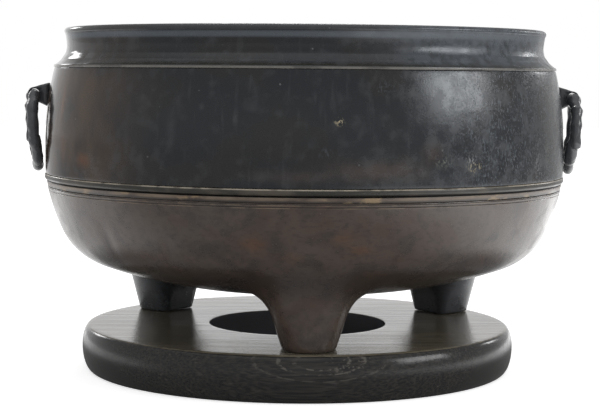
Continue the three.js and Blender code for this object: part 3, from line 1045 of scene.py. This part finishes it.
def make_brown_bronze():
    """Mottled brown patina of the bowl and feet, with rusty patches and fine scratches."""
    paint = Paint("brown_bronze")
    cloud = paint.noise(0.045, 5)
    mottle = paint.noise(0.013, 5, (1.3, 1.3, 1), 2, 0.4)
    fine = paint.noise(0.0014, 4)
    paint.colour = paint.mix(paint.ramp(cloud, 0.36, 0.62), bowl_brown, bowl_pale)
    paint.coat(paint.ramp(mottle, 0.44, 0.70, 0, 0.5), bowl_dark)
    paint.coat(paint.ramp(paint.noise(0.022, 4), 0.48, 0.68, 0, 0.6), bowl_red)
    # Painted shade and dark reflection: a blue-black band low on the bowl, where it faces the dark
    # stand
    paint.coat(paint.band(0.078, 0.092, 0.012), blue_black, 0.55)
    behind = paint.times(paint.ramp(paint.y, -0.06, 0.02), paint.ramp(paint.z, 0.086, 0.078))
    paint.coat(behind, foot_black)
    for *place, strength, tint in bowl_patches:
        paint.coat(paint.spot(*place, ragged=0.7), tint, strength)
    scratch = paint.ramp(paint.noise(0.0013, 3, (18, 18, 1)), 0.62, 0.72)
    paint.coat(scratch, bowl_pale, 0.4)
    grit = paint.ramp(paint.noise(0.0022, 5, (1.8, 1.8, 1)), 0.50, 0.66)
    paint.coat(grit, bowl_dark, 0.3)
    paint.coat(paint.specks(0.012, 0.06), tan, 0.4)
    foot = band_low - clearance
    for line in line_drops:
        edge = paint.band(foot - line - line_width, foot - line - line_width * 0.3, 0.0002)
        broken = paint.ramp(paint.noise(0.004, 4, (3, 3, 1)), 0.45, 0.55, 0.15, 0.9)
        paint.coat(paint.times(edge, broken), tan)
        # A near-black line painted in each incised line
        cut = paint.band(foot - line - line_width * 0.1, foot - line + line_width * 0.5, 0.0001)
        paint.coat(cut, near_black, 0.8)
    roughness = paint.ramp(paint.plus(cloud, paint.times(fine, 0.5)), 0.55, 1.0, 0.18, 0.27)
    roughness = paint.plus(roughness, paint.ramp(mottle, 0.45, 0.7, 0, 0.08))
    paint.relief(paint.noise(0.035, 3), 0.0006)
    paint.relief(mottle, 0.00010)
    paint.relief(fine, 0.00005)
    return paint.finish(roughness, bronze_ior)


# Marks on the bowl: azimuth, height, half width, half height, strength and colour
bowl_patches = (
    (-12, 0.113, 0.013, 0.007, 0.32, rust),
    (6, 0.118, 0.013, 0.007, 0.25, rust),
    (10, 0.110, 0.012, 0.005, 0.35, rust),
    (-4, 0.104, 0.010, 0.006, 0.25, rust),
    (-36.6, 0.109, 0.007, 0.006, 0.6, bowl_dark),
    (44, 0.098, 0.0015, 0.003, 1, near_black),
    (-22, 0.108, 0.022, 0.008, 0.6, bowl_dark),
    # Painted shade on the dent's left side
    (-50.5, 0.107, 0.0045, 0.010, 0.6, bowl_dark),
)


def make_rubbed_bronze():
    """The waist moulding: dark in its hollows, worn to tan and brass where it stands out."""
    paint = Paint("rubbed_bronze")
    patch = paint.noise(0.012, 5, (2, 2, 1))
    fine = paint.noise(0.0012, 3)
    band_high = band_low - clearance + band_height
    paint.colour = paint.mix(paint.ramp(patch, 0.35, 0.65), bowl_brown, tan)
    shade = paint.ramp(paint.z, band_low + 0.0022, band_low + 0.0006, 0, 0.85)
    paint.coat(shade, bowl_dark)
    spots = paint.times(paint.ramp(paint.noise(0.008, 4, (2, 2, 1)), 0.56, 0.66), 0.7)
    paint.coat(spots, brass)
    upper = paint.ramp(paint.z, band_high + 0.0004, band_high + 0.0012)
    ridge = paint.mix(paint.ramp(patch, 0.5, 0.75, 0, 0.3), olive, tan)
    paint.coat(upper, ridge)
    # A near-black line painted in the groove above the band
    groove = paint.band(band_high - 0.0001, band_high + groove_height, 0.0003)
    paint.coat(groove, near_black)
    crest = paint.band(ridge_high - 0.0009, ridge_high + 0.001, 0.0002)
    crest = paint.times(crest, paint.ramp(paint.noise(0.012, 4), 0.38, 0.54, 0.35, 1))
    paint.coat(crest, worn_edge)
    paint.relief(paint.noise(0.004, 4, (2, 2, 1)), 0.00015)
    paint.relief(fine, 0.00006)
    return paint.finish(paint.ramp(patch, 0.3, 0.7, 0.26, 0.40), bronze_ior)


def make_bark_bronze():
    """Dark, bark-like bronze of the lugs and rings."""
    paint = Paint("bark_bronze")
    rough = paint.noise(0.0032, 4, (1, 1, 2))
    fine = paint.noise(0.0009, 3)
    paint.colour = paint.mix(paint.ramp(rough, 0.42, 0.68), foot_black, grey_bloom)
    paint.relief(rough, 0.00016)
    paint.relief(fine, 0.00004)
    return paint.finish(paint.ramp(rough, 0.3, 0.7, 0.34, 0.2), bronze_ior)


def make_ebonised_wood():
    """Black wood with its grain along X, an oval figure and chips at the front of its edge."""
    paint = Paint("ebonised_wood")
    on_top = paint.ramp(paint.z, stand_top - 0.0008, stand_top - 0.0002)
    away = paint.length(paint.x, paint.y)
    in_hole = paint.ramp(away, stand_hole_radius + 0.03, stand_hole_radius + 0.02)
    facing = paint.ramp(paint.math("ABSOLUTE", paint.x), 0.165, 0.10)
    along = paint.most(on_top, facing)
    warp = paint.noise(0.05, 4, (2.5, 1, 1))
    fibre = paint.noise(0.0011, 4, (40, 1, 1))
    long_streak = paint.noise(0.0035, 5, (30, 1, 1), 2, 0.6)
    grain = paint.plus(paint.times(long_streak, 0.7), paint.times(warp, 0.3))
    paint.colour = paint.mix(paint.ramp(fibre, 0.35, 0.7), wood_black, wood_brown)
    top = paint.mix(paint.ramp(grain, 0.38, 0.62), wood_dull, wood_worn)
    gaps = paint.ramp(paint.noise(0.0016, 4, (22, 1, 1)), 0.6, 0.72, 0, 0.75)
    top = paint.mix(gaps, top, wood_black)
    # Paler wood at the hole's wall and round the hole: bare wood, and painted light where little
    # light reaches into the hole
    paint.coat(in_hole, bare_wood_and_painted_light)
    paint.coat(on_top, top)
    wear = paint.times(paint.ramp(paint.noise(0.0030, 5, (9, 1, 1)), 0.58, 0.74), along)
    paint.coat(wear, wood_pale, 0.25)
    across = paint.math("DIVIDE", paint.less(paint.x, figure_x), figure_half_width)
    up = paint.math("DIVIDE", paint.less(paint.z, figure_height), figure_half_height)
    drift = paint.times(paint.less(warp, 0.5), figure_warp)
    oval = paint.plus(paint.length(across, up), drift)
    front = paint.times(paint.ramp(paint.y, -0.14, -0.155), paint.inverse(on_top))
    broken = paint.ramp(paint.noise(0.0026, 5, (1.6, 1, 1)), 0.46, 0.56, 0.1, 1)
    for share, strength in figure_arcs:
        from_arc = paint.math("ABSOLUTE", paint.less(oval, share))
        arc = paint.times(paint.ramp(from_arc, *figure_line), broken, front)
        paint.coat(arc, wood_pale, strength)
    chips = paint.ramp(paint.noise(0.0017, 4, (1.6, 1, 1)), 0.57, 0.64)
    inside = paint.times(paint.ramp(oval, *chips_within), paint.ramp(across, *chips_right_of))
    chips = paint.times(chips, inside, front)
    paint.coat(chips, wood_pale, 0.75)
    roughness = paint.ramp(long_streak, 0.35, 0.65, 0.13, 0.22)
    below_top = paint.ramp(paint.z, stand_top - 0.0004, stand_top - 0.004, 0, 0.03)
    roughness = paint.plus(roughness, below_top)
    paint.relief(paint.times(long_streak, along), 0.00006)
    paint.relief(paint.times(fibre, along), 0.00005)
    paint.relief(paint.noise(0.0022, 3), 0.00003)
    return paint.finish(roughness, wood_ior)


black_bronze = make_black_bronze()
brown_bronze = make_brown_bronze()
rubbed_bronze = make_rubbed_bronze()
bark_bronze = make_bark_bronze()
ebonised_wood = make_ebonised_wood()


def settle(piece, body, material):
    """Gives a piece its finish, the node that it stands for, and the body that it rides on."""
    piece.data.materials.append(material)
    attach(piece, body)
    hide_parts(piece.name.removesuffix("_piece"))


settle(make_stand(), "stand", ebonised_wood)
settle(make_bowl(), "vessel", brown_bronze)
settle(make_waist_band(), "vessel", rubbed_bronze)
settle(make_drum(), "vessel", black_bronze)
settle(make_neck(), "vessel", black_bronze)
for foot_name, foot_azimuth in foot_azimuths.items():
    settle(make_foot(foot_name, foot_azimuth), "vessel", brown_bronze)
for handle_side in ("left", "right"):
    settle(make_lug(f"lug_{handle_side}", handle_side), "vessel", bark_bronze)
    ring = make_ring(f"ring_{handle_side}", handle_side)
    settle(ring, f"ring_{handle_side}", bark_bronze)


def make_floor():
    """A pale floor that is white to the eye and keeps the shadow. In reflections a lit sweep
    lies at the sides, more so at the right and behind. It is dim in front, and far behind it
    is as bright as the wall."""
    bm = bmesh.new()
    bmesh.ops.create_grid(bm, x_segments=1, y_segments=1, size=floor_half)
    floor = finish_mesh(bm, "floor")
    paint = Paint("floor")
    mirrored = paint.mirrored()
    away = paint.length(paint.x, paint.y)
    lit = paint.times(paint.ramp(away, *floor_shade), paint.ramp(away, *floor_reach))
    behind = paint.math("POWER", paint.most(paint.math("DIVIDE", paint.y, away), 0), room_power)
    far = paint.times(paint.ramp(away, *floor_far), paint.times(behind, room_glow))
    to_right = paint.ramp(paint.x, *floor_right)
    front = paint.times(paint.ramp(paint.y, *floor_front), paint.inverse(to_right))
    lit = paint.times(lit, paint.inverse(front))
    side = paint.ramp(to_right, 0, 1, floor_glow_left, floor_glow_right)
    side = paint.plus(side, paint.ramp(paint.y, *floor_back, 0, floor_glow_back))
    glow = paint.times(mirrored, paint.plus(paint.times(side, lit), far))
    paint.fill(paint.shader, {
        "Base Color": paint.mix(mirrored, floor_colour, floor_dim_colour),
        "Roughness": floor_roughness,
        "Specular IOR Level": 0,
        "Emission Color": (1, 1, 1, 1),
        "Emission Strength": paint.plus(paint.times(paint.seen(), floor_glow), glow),
    })
    floor.data.materials.append(paint.material)


def make_world():
    """White to the eye, and plain soft light on everything. In reflections it is a room that is
    white behind the vessel, dim around the camera and grey overhead."""
    world = bpy.data.worlds.new("studio")
    bpy.context.scene.world = world
    world.use_nodes = True
    nodes = Nodes(world.node_tree)
    direction = nodes.add("ShaderNodeTexCoord").outputs["Generated"]
    _, along, up = nodes.add("ShaderNodeSeparateXYZ", direction).outputs
    deep = nodes.math("POWER", nodes.most(along, 0), room_power)
    walls = nodes.plus(room_level, nodes.times(deep, room_glow))
    ceiling = nodes.ramp(up, *ceiling_rise, upper_wall_level, ceiling_level)
    above = nodes.ramp(up, *wall_top)
    room = nodes.plus(nodes.times(walls, nodes.inverse(above)), nodes.times(ceiling, above))
    strength = nodes.ramp(nodes.mirrored(), 0, 1, ambient_light, room)
    nodes.fill(world.node_tree.nodes["Background"], {
        "Color": (1, 1, 1, 1),
        "Strength": nodes.most(strength, nodes.seen()),
    })


def make_lamp(name, azimuth, elevation, width, height, radiance):
    """A softbox that faces the vessel from an azimuth and elevation in degrees."""
    data = bpy.data.lights.new(name, "AREA")
    data.shape = "RECTANGLE"
    data.size = width
    data.size_y = height
    data.energy = radiance * math.pi * width * height
    lamp = add_object(name, data)
    lean = math.radians(elevation)
    away = polar(math.cos(lean), math.radians(azimuth), math.sin(lean)) * lamp_distance
    lamp.location = away + Vector((0, 0, lamp_aim_height))
    lamp.rotation_euler = (-away).to_track_quat("-Z", "Y").to_euler()


# Stage. A pair gives where a change starts and where it is complete.
floor_half = 6
floor_colour = (0.8, 0.8, 0.8)
floor_dim_colour = (0.3, 0.3, 0.3)
floor_roughness = 0.9
floor_glow = 0.6
floor_glow_left = 0.65
floor_glow_right = 1.3
floor_glow_back = 0.6
floor_shade = (0.215, 0.30)
floor_reach = (1.6, 0.7)
floor_far = (0.7, 1.5)
floor_front = (-0.05, -0.25)
floor_back = (0, 0.6)
floor_right = (0.05, 0.45)
ambient_light = 0.85
room_level = 0.36
room_glow = 0.8
room_power = 4
upper_wall_level = 0.3
ceiling_level = 0.6
ceiling_rise = (0.6, 0.95)
wall_top = (0.15, 0.42)
lamp_distance = 2.2
lamp_aim_height = 0.15

# Each softbox's azimuth, elevation, width, height and radiance
softboxes = {
    "front_right": (67, 19, 1.1, 0.62, 4.5),
    "back_left": (-144, 17, 0.34, 0.34, 6),
    "back_right": (128, 16, 0.34, 0.30, 6),
    "back_top": (180, 42, 0.6, 0.3, 7),
}
make_floor()
make_world()
for lamp_name, settings in softboxes.items():
    make_lamp(lamp_name, *settings)

# Camera, fitted to the vessel's edges in the photo
focal_pixels = 1722.1
image_width = 600
sensor = 36
camera_distance = 1.34384
camera_height = 0.22895
camera_azimuth = math.radians(-2)
camera_pitch = math.radians(4.47)
camera_yaw = math.atan(3.7 / focal_pixels)
camera_roll = math.radians(0.5)
camera_data = bpy.data.cameras.new("camera")
camera_data.sensor_width = sensor
camera_data.lens = sensor * focal_pixels / image_width
camera = add_object("camera", camera_data)
camera.location = polar(camera_distance, camera_azimuth, camera_height)
heading = -camera_azimuth - camera_yaw
forward = Vector((
    math.sin(heading) * math.cos(camera_pitch),
    math.cos(heading) * math.cos(camera_pitch),
    -math.sin(camera_pitch),
))
aim = forward.to_track_quat("-Z", "Y").to_matrix().to_4x4()
camera.rotation_euler = (aim @ Matrix.Rotation(camera_roll, 4, "Z")).to_euler()
bpy.context.scene.camera = camera
bpy.context.scene.view_settings.view_transform = "Standard"
